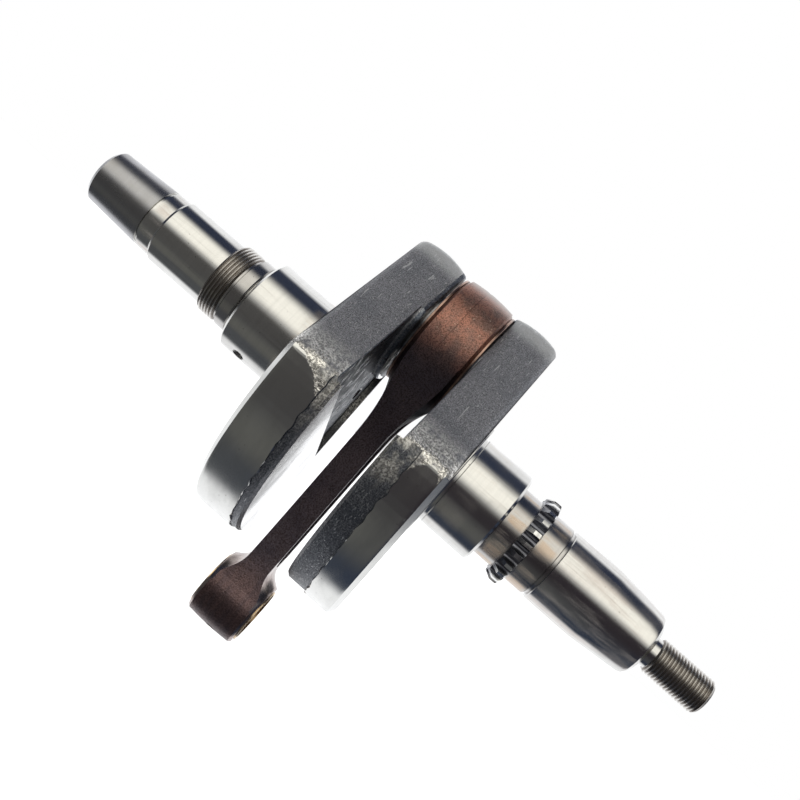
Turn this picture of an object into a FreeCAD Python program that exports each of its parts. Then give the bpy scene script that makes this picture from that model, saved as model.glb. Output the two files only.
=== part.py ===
import FreeCAD, Part
import math
import os

V = FreeCAD.Vector
X_AXIS = V(1, 0, 0)
Y_AXIS = V(0, 1, 0)
Z_AXIS = V(0, 0, 1)

# Row frame: the shaft lies along X, the drive side towards -X and the flywheel side towards +X.
# The crank pin stands above the shaft (+Z) and the connecting rod hangs down from it (-Z).
# The origin is on the shaft axis, midway between the two webs.

# ---- crank throw and connecting rod, mm ----
CRANK_THROW = 38.5
ROD_LENGTH = 132.0
ROD_OFFSET_X = 1.5
SMALL_END_Z = CRANK_THROW - ROD_LENGTH

# ---- crank pin and big-end bearing ----
PIN_RADIUS = 17.0
PIN_HALF_LENGTH = 35.2
PIN_BORE_RADIUS = 6.0
PIN_CHAMFER = 0.8
PLUG_LENGTH = 5.0
PLUG_CUP_RADIUS = 4.2
PLUG_CUP_DEPTH = 3.5
PLUG_INSET = 1.0
OIL_HOLE_RADIUS = 2.1
OIL_MOUTH_X = -60.0
OIL_MOUTH_Y = -8.2
OIL_MOUTH_Z = -19.3
OIL_TARGET_X = -22.0
OIL_SINK_RADIUS = 3.5
OIL_SINK_DEPTH = 1.2
PIN_FEED_RADIUS = 1.5
ROLLER_COUNT = 16
ROLLER_RADIUS = 2.47
ROLLER_PITCH_RADIUS = 19.5
ROLLER_LENGTH = 15.6
ROLLER_CHAMFER = 0.35
CAGE_OUTER_RADIUS = 21.9
CAGE_INNER_RADIUS = 17.5
CAGE_WIDTH = 21.0
CAGE_POCKET_LENGTH = 16.2
CAGE_POCKET_WIDTH = 5.5
ROD_BIG_BORE_RADIUS = 22.0

# ---- thrust washers ----
WASHER_OUTER_RADIUS = 25.2
WASHER_BORE_RADIUS = 17.1
WASHER_THICKNESS = 1.0
WASHER_CHAMFER = 0.15
WASHER_LEFT_X = -10.8
WASHER_RIGHT_X = 12.75

# ---- connecting rod ----
ROD_WIDTH = 22.4
ROD_BIG_RADIUS = 27.0
ROD_BIG_SIDE_RADIUS = 25.9
ROD_BIG_FACE_RADIUS = 24.8
ROD_BIG_FACE_STEP = 0.9
ROD_SMALL_RADIUS = 14.8
ROD_SMALL_SIDE_RADIUS = 14.2
ROD_SMALL_BORE_RADIUS = 12.0
ROD_BEAM_THICKNESS = 10.8
ROD_POCKET_FROM_BIG = 40.0
ROD_POCKET_FROM_SMALL = 27.0
ROD_POCKET_TOP_HALF = 8.6
ROD_POCKET_LOW_HALF = 6.6
ROD_POCKET_FILLET = 2.0
ROD_WEB_THICKNESS = 4.4
ROD_BIG_FLARE_END = 52.0
ROD_SMALL_FACE_RADIUS = 13.6
ROD_SMALL_FACE_STEP = 0.35
ROD_SMALL_FLARE_END = 22.5
FLARE_STEPS = 10
FLARE_POWER = 2.6
ROD_OIL_HOLE_RADIUS = 2.1
BUSH_OIL_HOLE_RADIUS = 1.6
OIL_HOLE_SLANT = 20.0
OIL_HOLE_SHIFT = 1.2
BUSH_BORE_RADIUS = 11.0
BUSH_LENGTH = 23.6

# ---- webs ----
WEB_OUTER_X = 35.6
WEB_PLATE_X = 14.8
LEFT_BOSS_X = 12.3
RIGHT_BOSS_X = 13.8
WEB_RIM_X = 12.3
WEB_STEP_EDGE_Y = 69.5
WEB_STEP_EDGE_Z = 0.2
WEB_STEP_END_Y = -13.0
WEB_STEP_END_Z = -31.0
WEB_STEP_TOP_Z = 14.0
WEB_RADIUS = 72.0
WEB_ROUGH_RADIUS = 71.3
WEB_BOSS_RADIUS = 28.6
WEB_BOSS_CHAMFER = 0.6
WEB_SHOULDER_FILLET = 6.0
WEB_FLANK_ANGLE = 137.0
WEB_CROWN_TOP_Z = 66.5
WEB_CROWN_RADIUS = 7.0
WEB_OUTER_FILLET = 3.0
WEB_INNER_CHAMFER = 0.4
WEB_RIM_BEVEL_WIDTH = 2.1
WEB_RIM_BEVEL_DEPTH = 2.8
WEB_RIM_INNER_ROUND = 1.2
LEFT_MACHINED_FROM_X = 16.2
RIGHT_MACHINED_FROM_X = 22.2

# ---- drive side shaft, distances from the origin towards -X ----
JOURNAL_RADIUS = 21.0
RING_RADIUS = 27.0
RING_END_X = 36.4
RELIEF_WIDTH = 1.3
RELIEF_DEPTH = 0.3
LEFT_JOURNAL_END_X = 70.2
LEFT_FILLET_END_X = 71.9
LEFT_COLLAR_END_X = 77.5
LEFT_RELIEF_END_X = 78.7
LEFT_THREAD_END_X = 87.5
LEFT_THREAD_RADIUS = 16.5
LEFT_RELIEF_RADIUS = 15.2
LEFT_CYLINDER_RADIUS = 14.8
LEFT_CYLINDER_END_X = 116.0
LEFT_SHORT_RADIUS = 13.8
LEFT_SHORT_END_X = 123.0
LEFT_GROOVE_RADIUS = 12.9
LEFT_TAPER_START_X = 124.2
LEFT_TAPER_START_RADIUS = 13.6
LEFT_TAPER_END_X = 150.8
LEFT_TAPER_END_RADIUS = 12.25
LEFT_END_X = 152.2

# ---- flywheel side shaft, distances from the origin towards +X ----
RIGHT_JOURNAL_END_X = 60.7
RIGHT_NECK_RADIUS = 16.2
TEETH_START_X = 69.8
TEETH_END_X = 76.4
TEETH_COUNT = 22
TEETH_TIP_RADIUS = 20.3
TEETH_PITCH_RADIUS = 19.0
TEETH_SEAT_RADIUS = 1.75
TEETH_LEFT_BEVEL = 2.8
TEETH_RIGHT_BEVEL = 0.8
TEETH_BEVEL_DEPTH = 1.7
RIGHT_COLLAR_END_X = 85.9
RIGHT_GROOVE_RADIUS = 15.2
RIGHT_GROOVE_END_X = 87.3
RIGHT_CYLINDER_RADIUS = 16.6
RIGHT_CYLINDER_END_X = 110.4
RIGHT_TAPER_END_X = 132.8
RIGHT_TAPER_END_RADIUS = 14.5
RIGHT_FACE_X = 135.6
RIGHT_FACE_RADIUS = 11.8
STUB_NECK_RADIUS = 6.5
STUB_NECK_END_X = 139.7
STUB_THREAD_RADIUS = 7.9
STUB_END_X = 165.4
KEYWAY_WIDTH = 4.0
KEYWAY_DEPTH = 2.2
KEYWAY_START_X = 113.4
KEYWAY_END_X = 129.4
KEYWAY_FLOOR_SINK = 0.6
THREAD_PITCH = 1.5
THREAD_DEPTH = 0.92
THREAD_CREST = 0.19
THREAD_ROOT_HALF = 0.12
THREAD_OVERRUN = 0.6
THREAD_START_MARGIN = 1.0
THREAD_END_MARGIN = 1.5
CENTRE_HOLE_RADIUS = 3.1
CENTRE_HOLE_TIP_RADIUS = 0.6
CENTRE_HOLE_DEPTH = 4.6


def cylinder_x(radius, x_start, x_end, y=0.0, z=0.0):
    """A round bar along X."""
    return Part.makeCylinder(radius, x_end - x_start, V(x_start, y, z), X_AXIS)


def revolve_x(points, z_centre=0.0):
    """Turn a closed outline of (x, radius) points about an axis parallel to X."""
    corners = [V(x, 0, z_centre + r) for x, r in points]
    corners.append(corners[0])
    face = Part.Face(Part.makePolygon(corners))
    return face.revolve(V(0, 0, z_centre), X_AXIS, 360)


def circle_point(radius, angle_deg, y=0.0, z=0.0):
    """A point on a circle in the YZ plane, the angle counted from +Y towards +Z."""
    angle = math.radians(angle_deg)
    return V(0, y + radius * math.cos(angle), z + radius * math.sin(angle))


def web_half_outline():
    """Key points of one side (+Y) of the web outline in the YZ plane.

    From the bottom: rim arc, round shoulder, straight sloping flank and the round crown over the pin."""
    flank = math.radians(WEB_FLANK_ANGLE)
    along = V(0, math.cos(flank), math.sin(flank))
    outward = V(0, math.sin(flank), -math.cos(flank))
    crown = V(0, 0, WEB_CROWN_TOP_Z - WEB_CROWN_RADIUS)
    level = crown.dot(outward) + WEB_CROWN_RADIUS
    # shoulder round: tangent inside to the rim circle and to the flank line
    reach = WEB_RADIUS - WEB_SHOULDER_FILLET
    offset = level - WEB_SHOULDER_FILLET
    slide = -math.sqrt(reach * reach - offset * offset)
    shoulder = outward * offset + along * slide
    rim_end = shoulder.normalize() * WEB_RADIUS
    shoulder = outward * offset + along * slide
    flank_start = shoulder + outward * WEB_SHOULDER_FILLET
    flank_end = crown + outward * WEB_CROWN_RADIUS
    return {"rim_end": rim_end, "shoulder": shoulder, "flank_start": flank_start, "flank_end": flank_end}


def mirror_y(point):
    return V(point.x, -point.y, point.z)


def arc_middle(centre, start, end, radius):
    """Middle point of the shorter arc from start to end about a centre."""
    middle = (start + end) * 0.5 - centre
    return centre + middle * (radius / middle.Length)


def web_outline_wire(x):
    """The closed web outline, at a distance x along the shaft."""
    k = web_half_outline()
    crown_top = V(0, 0, WEB_CROWN_TOP_Z)
    rim_bottom = V(0, 0, -WEB_RADIUS)
    shoulder_mid = arc_middle(k["shoulder"], k["rim_end"], k["flank_start"], WEB_SHOULDER_FILLET)
    m = {name: mirror_y(point) for name, point in k.items()}
    edges = [
        Part.Arc(m["rim_end"], rim_bottom, k["rim_end"]).toShape(),
        Part.Arc(k["rim_end"], shoulder_mid, k["flank_start"]).toShape(),
        Part.makeLine(k["flank_start"], k["flank_end"]),
        Part.Arc(k["flank_end"], crown_top, m["flank_end"]).toShape(),
        Part.makeLine(m["flank_end"], m["flank_start"]),
        Part.Arc(m["flank_start"], mirror_y(shoulder_mid), m["rim_end"]).toShape(),
    ]
    wire = Part.Wire(edges)
    wire.translate(V(x, 0, 0))
    return wire


def web_slab(x_start, x_end):
    return Part.Face(web_outline_wire(x_start)).extrude(V(x_end - x_start, 0, 0))


def edges_at_x(shape, x, above_z=None):
    """Edges that lie in the plane at x, optionally only those above a height."""
    found = []
    for edge in shape.Edges:
        box = edge.BoundBox
        flat = abs(box.XMin - x) < 1e-6 and abs(box.XMax - x) < 1e-6
        if flat and (above_z is None or box.ZMax > above_z):
            found.append(edge)
    return found


def counterweight_turning(machined_from):
    """The turned envelope of the web: rough band, machined rim and outer bevel."""
    outline = [
        (WEB_RIM_X - 1.0, 0.0),
        (WEB_RIM_X, WEB_ROUGH_RADIUS - WEB_RIM_INNER_ROUND),
        (WEB_RIM_X + WEB_RIM_INNER_ROUND, WEB_ROUGH_RADIUS),
        (machined_from, WEB_ROUGH_RADIUS),
        (machined_from + 0.4, WEB_RADIUS),
        (WEB_OUTER_X - WEB_RIM_BEVEL_WIDTH, WEB_RADIUS),
        (WEB_OUTER_X, WEB_RADIUS - WEB_RIM_BEVEL_DEPTH),
        (WEB_OUTER_X + 1.0, 0.0),
    ]
    return revolve_x(outline)


def rim_plate_outline():
    """Area of the turned inner face: everything except the forged hollow beside the shaft axis.

    The hollow is open towards -Y. Its lower edge slopes and its far edge is upright."""
    far = 2 * WEB_RADIUS
    run = WEB_STEP_EDGE_Y - WEB_STEP_END_Y
    slope = (WEB_STEP_EDGE_Z - WEB_STEP_END_Z) / run
    open_z = WEB_STEP_EDGE_Z + slope * (far - WEB_STEP_EDGE_Y)
    corners = [
        V(0, -far, -far),
        V(0, far, -far),
        V(0, far, WEB_STEP_TOP_Z),
        V(0, -WEB_STEP_END_Y, WEB_STEP_TOP_Z),
        V(0, -WEB_STEP_END_Y, WEB_STEP_END_Z),
        V(0, -far, open_z),
    ]
    corners.append(corners[0])
    return Part.Face(Part.makePolygon(corners))


def web_body(machined_from, boss_x):
    """One web with its counterweight and pin boss, on the +X side."""
    slab = web_slab(WEB_PLATE_X, WEB_OUTER_X)
    slab = slab.makeFillet(WEB_OUTER_FILLET, edges_at_x(slab, WEB_OUTER_X, 5.0))
    slab = slab.makeChamfer(WEB_INNER_CHAMFER, edges_at_x(slab, WEB_PLATE_X, 5.0))
    rim = web_slab(WEB_RIM_X, WEB_PLATE_X + 4.0)
    rim = rim.common(rim_plate_outline().extrude(V(WEB_OUTER_X, 0, 0)))
    boss = cylinder_x(WEB_BOSS_RADIUS, boss_x, WEB_PLATE_X + 4.0, 0, CRANK_THROW)
    boss = boss.common(web_slab(boss_x, WEB_PLATE_X + 4.0))
    boss = boss.makeChamfer(WEB_BOSS_CHAMFER, edges_at_x(boss, boss_x))
    body = slab.fuse([rim, boss]).removeSplitter()
    body = body.common(counterweight_turning(machined_from))
    return body.cut(centre_hole(WEB_PLATE_X, -1))


def left_shaft():
    outline = [
        (WEB_PLATE_X + 8.0, 0.0),
        (WEB_PLATE_X + 8.0, RING_RADIUS),
        (RING_END_X - 0.3, RING_RADIUS),
        (RING_END_X, RING_RADIUS - 0.3),
        (RING_END_X, JOURNAL_RADIUS - RELIEF_DEPTH),
        (RING_END_X + RELIEF_WIDTH, JOURNAL_RADIUS - RELIEF_DEPTH),
        (RING_END_X + RELIEF_WIDTH + RELIEF_DEPTH, JOURNAL_RADIUS),
        (LEFT_JOURNAL_END_X - 1.0, JOURNAL_RADIUS),
        (LEFT_JOURNAL_END_X, JOURNAL_RADIUS - 1.0),
        (LEFT_JOURNAL_END_X, LEFT_RELIEF_RADIUS + 0.3),
        (LEFT_FILLET_END_X - 0.4, LEFT_RELIEF_RADIUS + 0.3),
        (LEFT_FILLET_END_X, LEFT_THREAD_RADIUS - 0.4),
        (LEFT_FILLET_END_X + 0.4, LEFT_THREAD_RADIUS),
        (LEFT_COLLAR_END_X - 0.3, LEFT_THREAD_RADIUS),
        (LEFT_COLLAR_END_X, LEFT_THREAD_RADIUS - 0.3),
        (LEFT_COLLAR_END_X, LEFT_RELIEF_RADIUS),
        (LEFT_RELIEF_END_X, LEFT_RELIEF_RADIUS),
        (LEFT_RELIEF_END_X + 0.8, LEFT_THREAD_RADIUS),
        (LEFT_THREAD_END_X - 1.2, LEFT_THREAD_RADIUS),
        (LEFT_THREAD_END_X, LEFT_THREAD_RADIUS - 1.2),
        (LEFT_THREAD_END_X, LEFT_CYLINDER_RADIUS),
        (LEFT_CYLINDER_END_X - 0.7, LEFT_CYLINDER_RADIUS),
        (LEFT_CYLINDER_END_X, LEFT_SHORT_RADIUS + 0.3),
        (LEFT_CYLINDER_END_X + 0.5, LEFT_SHORT_RADIUS),
        (LEFT_SHORT_END_X - 0.3, LEFT_SHORT_RADIUS),
        (LEFT_SHORT_END_X, LEFT_GROOVE_RADIUS),
        (LEFT_TAPER_START_X - 0.3, LEFT_GROOVE_RADIUS),
        (LEFT_TAPER_START_X, LEFT_TAPER_START_RADIUS),
        (LEFT_TAPER_END_X, LEFT_TAPER_END_RADIUS),
        (LEFT_END_X, LEFT_TAPER_END_RADIUS - 1.4),
        (LEFT_END_X, 0.0),
    ]
    return revolve_x(outline)


def right_shaft():
    outline = [
        (WEB_PLATE_X + 8.0, 0.0),
        (WEB_PLATE_X + 8.0, RING_RADIUS),
        (RING_END_X - 0.3, RING_RADIUS),
        (RING_END_X, RING_RADIUS - 0.3),
        (RING_END_X, JOURNAL_RADIUS - RELIEF_DEPTH),
        (RING_END_X + RELIEF_WIDTH, JOURNAL_RADIUS - RELIEF_DEPTH),
        (RING_END_X + RELIEF_WIDTH + RELIEF_DEPTH, JOURNAL_RADIUS),
        (RIGHT_JOURNAL_END_X - 1.0, JOURNAL_RADIUS),
        (RIGHT_JOURNAL_END_X, JOURNAL_RADIUS - 1.0),
        (RIGHT_JOURNAL_END_X, RIGHT_NECK_RADIUS + 0.5),
        (RIGHT_JOURNAL_END_X + 0.5, RIGHT_NECK_RADIUS),
        (RIGHT_COLLAR_END_X - 0.3, RIGHT_NECK_RADIUS),
        (RIGHT_COLLAR_END_X, RIGHT_NECK_RADIUS - 0.3),
        (RIGHT_COLLAR_END_X, RIGHT_GROOVE_RADIUS),
        (RIGHT_GROOVE_END_X, RIGHT_GROOVE_RADIUS),
        (RIGHT_GROOVE_END_X, RIGHT_CYLINDER_RADIUS - 0.3),
        (RIGHT_GROOVE_END_X + 0.3, RIGHT_CYLINDER_RADIUS),
        (RIGHT_CYLINDER_END_X, RIGHT_CYLINDER_RADIUS),
        (RIGHT_TAPER_END_X, RIGHT_TAPER_END_RADIUS),
        (RIGHT_TAPER_END_X + 1.2, RIGHT_TAPER_END_RADIUS - 0.5),
        (RIGHT_FACE_X - 0.6, RIGHT_FACE_RADIUS + 0.9),
        (RIGHT_FACE_X, RIGHT_FACE_RADIUS),
        (RIGHT_FACE_X, STUB_NECK_RADIUS),
        (STUB_NECK_END_X, STUB_NECK_RADIUS),
        (STUB_NECK_END_X + 0.7, STUB_THREAD_RADIUS),
        (STUB_END_X - 1.3, STUB_THREAD_RADIUS),
        (STUB_END_X, STUB_THREAD_RADIUS - 1.3),
        (STUB_END_X, 0.0),
    ]
    return revolve_x(outline)


def thread_groove(radius, thread_start, thread_end):
    """A helical V groove for an outside thread along X, running out past both ends."""
    x_start = thread_start - THREAD_START_MARGIN
    length = thread_end + THREAD_END_MARGIN - x_start
    helix = Part.makeHelix(THREAD_PITCH, length, radius)
    half = THREAD_PITCH / 2 - THREAD_CREST / 2
    over = radius + THREAD_OVERRUN
    extra = half * THREAD_OVERRUN / THREAD_DEPTH
    root = radius - THREAD_DEPTH
    corners = [V(over, 0, -half - extra),
               V(root, 0, -THREAD_ROOT_HALF),
               V(root, 0, THREAD_ROOT_HALF),
               V(over, 0, half + extra)]
    corners.append(corners[0])
    profile = Part.makePolygon(corners)
    groove = Part.Wire(helix).makePipeShell([profile], True, True)
    groove.rotate(V(0, 0, 0), Y_AXIS, 90)
    groove.translate(V(x_start, 0, 0))
    return groove


def timing_teeth():
    """The ring of chain teeth that stands on the flywheel side shaft."""
    root = RIGHT_NECK_RADIUS
    outline = [
        (TEETH_START_X, root - 2.0),
        (TEETH_START_X, TEETH_TIP_RADIUS - TEETH_BEVEL_DEPTH),
        (TEETH_START_X + TEETH_LEFT_BEVEL, TEETH_TIP_RADIUS),
        (TEETH_END_X - TEETH_RIGHT_BEVEL, TEETH_TIP_RADIUS),
        (TEETH_END_X, TEETH_TIP_RADIUS - TEETH_BEVEL_DEPTH),
        (TEETH_END_X, root - 2.0),
    ]
    ring = revolve_x(outline)
    step = 2 * math.pi / TEETH_COUNT
    gaps = []
    for i in range(TEETH_COUNT):
        angle = (i + 0.5) * step
        seat = V(0, math.cos(angle), math.sin(angle))
        side = V(0, -math.sin(angle), math.cos(angle))
        far = TEETH_TIP_RADIUS + 1.0
        spread = TEETH_SEAT_RADIUS + 0.55
        centre = seat * TEETH_PITCH_RADIUS
        start = centre + side * TEETH_SEAT_RADIUS
        end = centre - side * TEETH_SEAT_RADIUS
        bottom = centre - seat * TEETH_SEAT_RADIUS
        outer_a = seat * far + side * spread
        outer_b = seat * far - side * spread
        edges = [
            Part.Arc(start, bottom, end).toShape(),
            Part.makeLine(end, outer_b),
            Part.makeLine(outer_b, outer_a),
            Part.makeLine(outer_a, start),
        ]
        wire = Part.Wire(edges)
        wire.translate(V(TEETH_START_X - 1.0, 0, 0))
        gaps.append(Part.Face(wire).extrude(V(TEETH_END_X - TEETH_START_X + 2.0, 0, 0)))
    return ring.cut(Part.makeCompound(gaps))


def centre_hole(x_face, direction):
    """A 60 degree lathe centre. direction is 1 when the material lies on the -X side of the face."""
    base = V(x_face + direction * 0.01, 0, 0)
    return Part.makeCone(CENTRE_HOLE_RADIUS, CENTRE_HOLE_TIP_RADIUS, CENTRE_HOLE_DEPTH, base,
                         X_AXIS * -direction)


def oil_drilling():
    """The slanting oil way from the journal's underside up to the hollow crank pin."""
    mouth = V(OIL_MOUTH_X, OIL_MOUTH_Y, OIL_MOUTH_Z)
    target = V(OIL_TARGET_X, 0.0, CRANK_THROW - PIN_BORE_RADIUS + 1.0)
    along = target - mouth
    overrun = 4.0
    length = along.Length + overrun
    along.normalize()
    return Part.makeCylinder(OIL_HOLE_RADIUS, length, mouth - along * overrun, along)


def oil_mouth_sink():
    """The dished mouth of the oil way in the journal surface."""
    outward = V(0, OIL_MOUTH_Y, OIL_MOUTH_Z)
    outward.normalize()
    base = V(OIL_MOUTH_X, 0, 0) + outward * (JOURNAL_RADIUS - OIL_SINK_DEPTH)
    return Part.makeCone(OIL_HOLE_RADIUS - 0.3, OIL_SINK_RADIUS, 2.0, base, outward)


def keyway():
    """The half-round key slot in the flywheel taper, on the far side."""
    middle = (KEYWAY_START_X + KEYWAY_END_X) / 2
    cutter_radius = (KEYWAY_END_X - KEYWAY_START_X) / 2 + 1.0
    floor_y = RIGHT_TAPER_END_RADIUS + 1.0 - KEYWAY_DEPTH - KEYWAY_FLOOR_SINK
    base = V(middle, floor_y + cutter_radius, -KEYWAY_WIDTH / 2)
    return Part.makeCylinder(cutter_radius, KEYWAY_WIDTH, base, Z_AXIS)


def left_crank_half():
    web = web_body(LEFT_MACHINED_FROM_X, LEFT_BOSS_X)
    half = web.fuse(left_shaft())
    half = half.cut(cylinder_x(PIN_RADIUS, 0, WEB_OUTER_X + 1, 0, CRANK_THROW))
    groove = thread_groove(LEFT_THREAD_RADIUS, LEFT_RELIEF_END_X, LEFT_THREAD_END_X)
    half = half.cut(groove)
    half = half.cut(centre_hole(LEFT_END_X, 1))
    half = half.mirror(V(0, 0, 0), X_AXIS)
    return half.cut(oil_drilling()).cut(oil_mouth_sink())


def right_crank_half():
    web = web_body(RIGHT_MACHINED_FROM_X, RIGHT_BOSS_X)
    half = web.fuse(right_shaft())
    half = half.fuse(timing_teeth())
    half = half.cut(cylinder_x(PIN_RADIUS, 0, WEB_OUTER_X + 1, 0, CRANK_THROW))
    groove = thread_groove(STUB_THREAD_RADIUS, STUB_NECK_END_X, STUB_END_X)
    half = half.cut(groove)
    half = half.cut(centre_hole(STUB_END_X, 1))
    return half.cut(keyway())


def crank_pin():
    outline = [
        (-PIN_HALF_LENGTH, PIN_BORE_RADIUS),
        (-PIN_HALF_LENGTH, PIN_RADIUS - PIN_CHAMFER),
        (-PIN_HALF_LENGTH + PIN_CHAMFER, PIN_RADIUS),
        (PIN_HALF_LENGTH - PIN_CHAMFER, PIN_RADIUS),
        (PIN_HALF_LENGTH, PIN_RADIUS - PIN_CHAMFER),
        (PIN_HALF_LENGTH, PIN_BORE_RADIUS),
    ]
    pin = revolve_x(outline, CRANK_THROW)
    feed = Part.makeCylinder(PIN_FEED_RADIUS, PIN_RADIUS + 1, V(0, 0, CRANK_THROW), Z_AXIS)
    return pin.cut(oil_drilling()).cut(feed)


def crank_pin_plug(side):
    """A pressed cup that closes one end of the pin's bore. side is -1 or 1."""
    outer = PIN_HALF_LENGTH - PLUG_INSET
    inner = outer - PLUG_LENGTH
    outline = [
        (side * inner, 0.0),
        (side * inner, PIN_BORE_RADIUS),
        (side * outer, PIN_BORE_RADIUS),
        (side * outer, PLUG_CUP_RADIUS),
        (side * (outer - PLUG_CUP_DEPTH), PLUG_CUP_RADIUS),
        (side * (outer - PLUG_CUP_DEPTH), 0.0),
    ]
    return revolve_x(outline, CRANK_THROW)


def big_end_roller(index):
    angle = 2 * math.pi * (index + 0.5) / ROLLER_COUNT
    y = ROLLER_PITCH_RADIUS * math.cos(angle)
    z = CRANK_THROW + ROLLER_PITCH_RADIUS * math.sin(angle)
    half = ROLLER_LENGTH / 2
    outline = [
        (-half, 0.0),
        (-half, ROLLER_RADIUS - ROLLER_CHAMFER),
        (-half + ROLLER_CHAMFER, ROLLER_RADIUS),
        (half - ROLLER_CHAMFER, ROLLER_RADIUS),
        (half, ROLLER_RADIUS - ROLLER_CHAMFER),
        (half, 0.0),
    ]
    roller = revolve_x(outline)
    roller.translate(V(ROD_OFFSET_X, y, z))
    return roller


def big_end_cage():
    half = CAGE_WIDTH / 2
    outline = [
        (ROD_OFFSET_X - half, CAGE_INNER_RADIUS),
        (ROD_OFFSET_X - half, CAGE_OUTER_RADIUS - 0.3),
        (ROD_OFFSET_X - half + 0.3, CAGE_OUTER_RADIUS),
        (ROD_OFFSET_X + half - 0.3, CAGE_OUTER_RADIUS),
        (ROD_OFFSET_X + half, CAGE_OUTER_RADIUS - 0.3),
        (ROD_OFFSET_X + half, CAGE_INNER_RADIUS),
    ]
    cage = revolve_x(outline, CRANK_THROW)
    pockets = []
    for i in range(ROLLER_COUNT):
        pocket = Part.makeBox(CAGE_POCKET_LENGTH, CAGE_OUTER_RADIUS, CAGE_POCKET_WIDTH,
                              V(ROD_OFFSET_X - CAGE_POCKET_LENGTH / 2, 10.0, -CAGE_POCKET_WIDTH / 2))
        pocket.rotate(V(0, 0, 0), X_AXIS, 360.0 * (i + 0.5) / ROLLER_COUNT)
        pocket.translate(V(0, 0, CRANK_THROW))
        pockets.append(pocket)
    return cage.cut(Part.makeCompound(pockets))


def thrust_washer(x_start):
    """A flat ring beside the big end, with both outer corners broken."""
    x_end = x_start + WASHER_THICKNESS
    outline = [
        (x_start, WASHER_BORE_RADIUS),
        (x_start, WASHER_OUTER_RADIUS - WASHER_CHAMFER),
        (x_start + WASHER_CHAMFER, WASHER_OUTER_RADIUS),
        (x_end - WASHER_CHAMFER, WASHER_OUTER_RADIUS),
        (x_end, WASHER_OUTER_RADIUS - WASHER_CHAMFER),
        (x_end, WASHER_BORE_RADIUS),
    ]
    return revolve_x(outline, CRANK_THROW)


def flare_points(width_start, width_end, rho_start, rho_end, steps):
    """Half-width against distance from an eye's axis, a smooth hollow curve."""
    points = []
    for i in range(steps + 1):
        t = i / steps
        fall = (1 - t) ** FLARE_POWER
        rho = rho_start + (rho_end - rho_start) * t
        points.append((rho, width_end + (width_start - width_end) * fall))
    return points


def eye_body(z_centre, face_radius, rim_step, flare_end):
    """A turned body about one eye: flat faces, then a hollow flare down to the beam thickness."""
    half = ROD_WIDTH / 2
    beam = ROD_BEAM_THICKNESS / 2
    rows = [(0.0, half), (face_radius, half)]
    rows += flare_points(half - rim_step, beam, face_radius + rim_step, flare_end, FLARE_STEPS)
    outline = [(ROD_OFFSET_X + width, r) for r, width in rows]
    outline += [(ROD_OFFSET_X - width, r) for r, width in reversed(rows)]
    return revolve_x(outline, z_centre)


def beam_edge():
    """One edge (+Y) of the beam: half-width knots from beside the big end down to the small end."""
    from_big = [(12.0, 24.0), (29.0, 17.4), (44.0, 13.4), (64.0, 11.2)]
    from_small = [(30.0, 10.3), (18.0, 10.9), (4.0, 13.9)]
    knots = [V(0, half_width, CRANK_THROW - drop) for drop, half_width in from_big]
    knots += [V(0, half_width, SMALL_END_Z + rise) for rise, half_width in from_small]
    return knots


def smooth_edge(knots):
    curve = Part.BSplineCurve()
    curve.interpolate(knots)
    return curve.toShape()


def rod_outline():
    """Front outline of the rod in the YZ plane as one solid: two eyes and a tapering beam."""
    big = Part.Face(Part.Wire(Part.makeCircle(ROD_BIG_RADIUS, V(0, 0, CRANK_THROW), X_AXIS)))
    small = Part.Face(Part.Wire(Part.makeCircle(ROD_SMALL_RADIUS, V(0, 0, SMALL_END_Z), X_AXIS)))
    knots = beam_edge()
    mirrored = [mirror_y(point) for point in knots]
    edges = [smooth_edge(knots),
             Part.makeLine(knots[-1], mirrored[-1]),
             smooth_edge(mirrored),
             Part.makeLine(mirrored[0], knots[0])]
    beam = Part.Face(Part.Wire(Part.__sortEdges__(edges)))
    half = ROD_WIDTH / 2 + 1
    solids = []
    for face in (big, small, beam):
        solid = face.extrude(V(2 * half, 0, 0))
        solid.translate(V(ROD_OFFSET_X - half, 0, 0))
        solids.append(solid)
    return solids[0].fuse(solids[1:]).removeSplitter()


def crowned_ring(radius, side_radius, z_centre):
    """The forged outside of an eye: fullest in the middle, falling away in an arc to both sides."""
    half = ROD_WIDTH / 2 + 1
    left = V(ROD_OFFSET_X - half, 0, side_radius)
    top = V(ROD_OFFSET_X, 0, radius)
    right = V(ROD_OFFSET_X + half, 0, side_radius)
    edges = [Part.Arc(left, top, right).toShape(),
             Part.makeLine(right, V(right.x, 0, 0)),
             Part.makeLine(V(right.x, 0, 0), V(left.x, 0, 0)),
             Part.makeLine(V(left.x, 0, 0), left)]
    face = Part.Face(Part.Wire(edges))
    ring = face.revolve(V(0, 0, 0), X_AXIS, 360)
    ring.translate(V(0, 0, z_centre))
    return ring


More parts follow.
